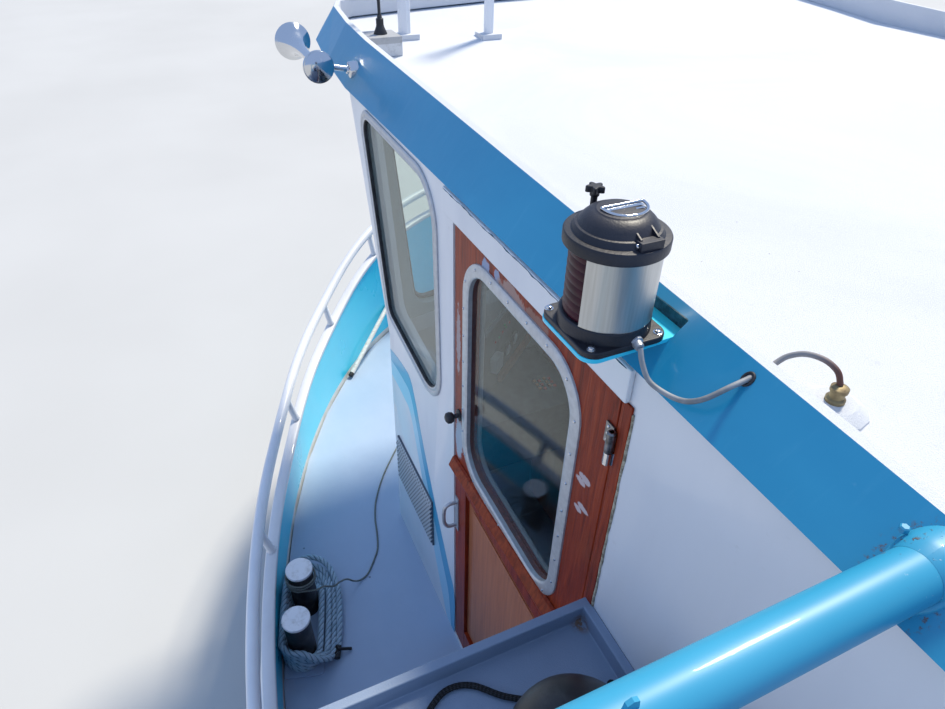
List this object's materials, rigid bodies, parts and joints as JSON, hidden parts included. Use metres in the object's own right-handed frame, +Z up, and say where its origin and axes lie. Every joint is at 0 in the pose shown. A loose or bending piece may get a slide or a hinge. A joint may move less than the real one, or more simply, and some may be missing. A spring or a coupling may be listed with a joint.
{
  "type": "canal tour boat",
  "caption": "Steel canal tour boat afloat: decked hull, long saloon with windows, forward wheelhouse with mahogany side doors, bulwark with tube rail, folding mast.",
  "frame": {"origin": "on the waterline, amidships, in the centre plane", "axes": "+X to the bow, +Y to port, +Z up"},
  "size_m": [19.42, 4.32, 5.174],
  "materials": {
    "bottom_paint": "matt",
    "white_paint": "satin",
    "roof_paint": "rough non-slip",
    "deck_paint": "satin",
    "blue_paint": "gloss",
    "cyan_paint": "gloss",
    "black_paint": "gloss",
    "mahogany": "varnished, weathered",
    "window_glass": "clear",
    "black_plastic": "moulded",
    "red_lens": "ribbed lens",
    "green_lens": "ribbed lens",
    "chrome": "polished",
    "grey_plastic": "moulded",
    "rope": "laid rope",
    "seat_cover": "woven",
    "floor_cover": "sheet",
    "engine_paint": "painted",
    "bronze": "cast, polished",
    "black_rubber": "smooth",
    "black_rope": "braided",
    "line": "thin laid line"
  },
  "bodies": {
    "boat": {"hull": "bottom_paint", "rubbing_strake": "white_paint", "deck": "deck_paint", "port_bulwark": "cyan_paint", "starboard_bulwark": "cyan_paint", "bow_rail": "white_paint", "saloon_floor": "floor_cover", "port_saloon_wall": "white_paint", "starboard_saloon_wall": "white_paint", "port_saloon_windows": "window_glass", "starboard_saloon_windows": "window_glass", "port_wheelhouse_wall": "white_paint", "starboard_wheelhouse_wall": "white_paint", "port_side_window": "window_glass", "starboard_side_window": "window_glass", "wheelhouse_front": "white_paint", "windscreen": "window_glass", "wheelhouse_bulkhead": "mahogany", "aft_wall": "white_paint", "roof_fascia": "blue_paint", "roof": "roof_paint", "port_light_housing": "black_plastic", "starboard_light_housing": "black_plastic", "port_light_lens": "red_lens", "starboard_light_lens": "green_lens", "horn": "chrome", "aerial_box": "grey_plastic", "mast_foot": "white_paint", "port_side_locker": "deck_paint", "starboard_side_locker": "deck_paint", "port_guard_tube": "blue_paint", "starboard_guard_tube": "blue_paint", "port_bitts_forward": "black_paint", "starboard_bitts_forward": "black_paint", "port_bitts_aft": "black_paint", "starboard_bitts_aft": "black_paint", "mooring_rope": "rope", "console": "mahogany", "helm_seat": "seat_cover", "port_benches": "seat_cover", "starboard_benches": "seat_cover", "engine": "engine_paint", "port_light_cable": "grey_plastic", "starboard_light_cable": "grey_plastic", "roof_cable": "grey_plastic", "fender": "black_rubber", "fender_rope": "black_rope", "deck_line": "line"},
    "port_door": {"port_door": "mahogany", "port_door_pane": "window_glass"},
    "starboard_door": {"starboard_door": "mahogany", "starboard_door_pane": "window_glass"},
    "aft_door": {"aft_door": "mahogany", "aft_door_pane": "window_glass"},
    "engine_hatch": {"engine_hatch": "deck_paint"},
    "helm_wheel": {"helm_wheel": "black_plastic"},
    "propeller": {"propeller": "bronze"},
    "rudder": {"rudder": "bottom_paint"},
    "mast": {"mast": "white_paint"}
  },
  "joints": [
    {"name": "port_door_swing", "type": "hinge", "parent": "boat", "child": "port_door", "pos_m": [6.411, 1.309, 1.6], "axis": [0, 0, 1], "range_deg": [0, 85]},
    {"name": "starboard_door_swing", "type": "hinge", "parent": "boat", "child": "starboard_door", "pos_m": [6.411, -1.309, 1.6], "axis": [0, 0, -1], "range_deg": [0, 85]},
    {"name": "aft_door_swing", "type": "hinge", "parent": "boat", "child": "aft_door", "pos_m": [-6.209, 0.379, 1.6], "axis": [0, 0, -1], "range_deg": [0, 90]},
    {"name": "engine_hatch_lift", "type": "hinge", "parent": "boat", "child": "engine_hatch", "pos_m": [-7.7, 0, 0.713], "axis": [0, -1, 0], "range_deg": [0, 95]},
    {"name": "rudder_turn", "type": "hinge", "parent": "boat", "child": "rudder", "pos_m": [-9.12, 0, -0.5], "axis": [0, 0, 1], "range_deg": [-35, 35]},
    {"name": "helm_turn", "type": "hinge", "parent": "boat", "child": "helm_wheel", "pos_m": [7.1, 0, 1.37], "axis": [0.9553, 0, -0.2955], "range_deg": [-390, 390]},
    {"name": "propeller_spin", "type": "hinge", "parent": "boat", "child": "propeller", "pos_m": [-8.735, 0, -0.42], "axis": [1, 0, 0], "continuous": true},
    {"name": "mast_fold", "type": "hinge", "parent": "boat", "child": "mast", "pos_m": [4.3, 0, 2.754], "axis": [0, -1, 0], "range_deg": [0, 88]}
  ],
  "couplings": [
    {"joint": "helm_turn", "follows": "rudder_turn", "ratio": 11}
  ]
}
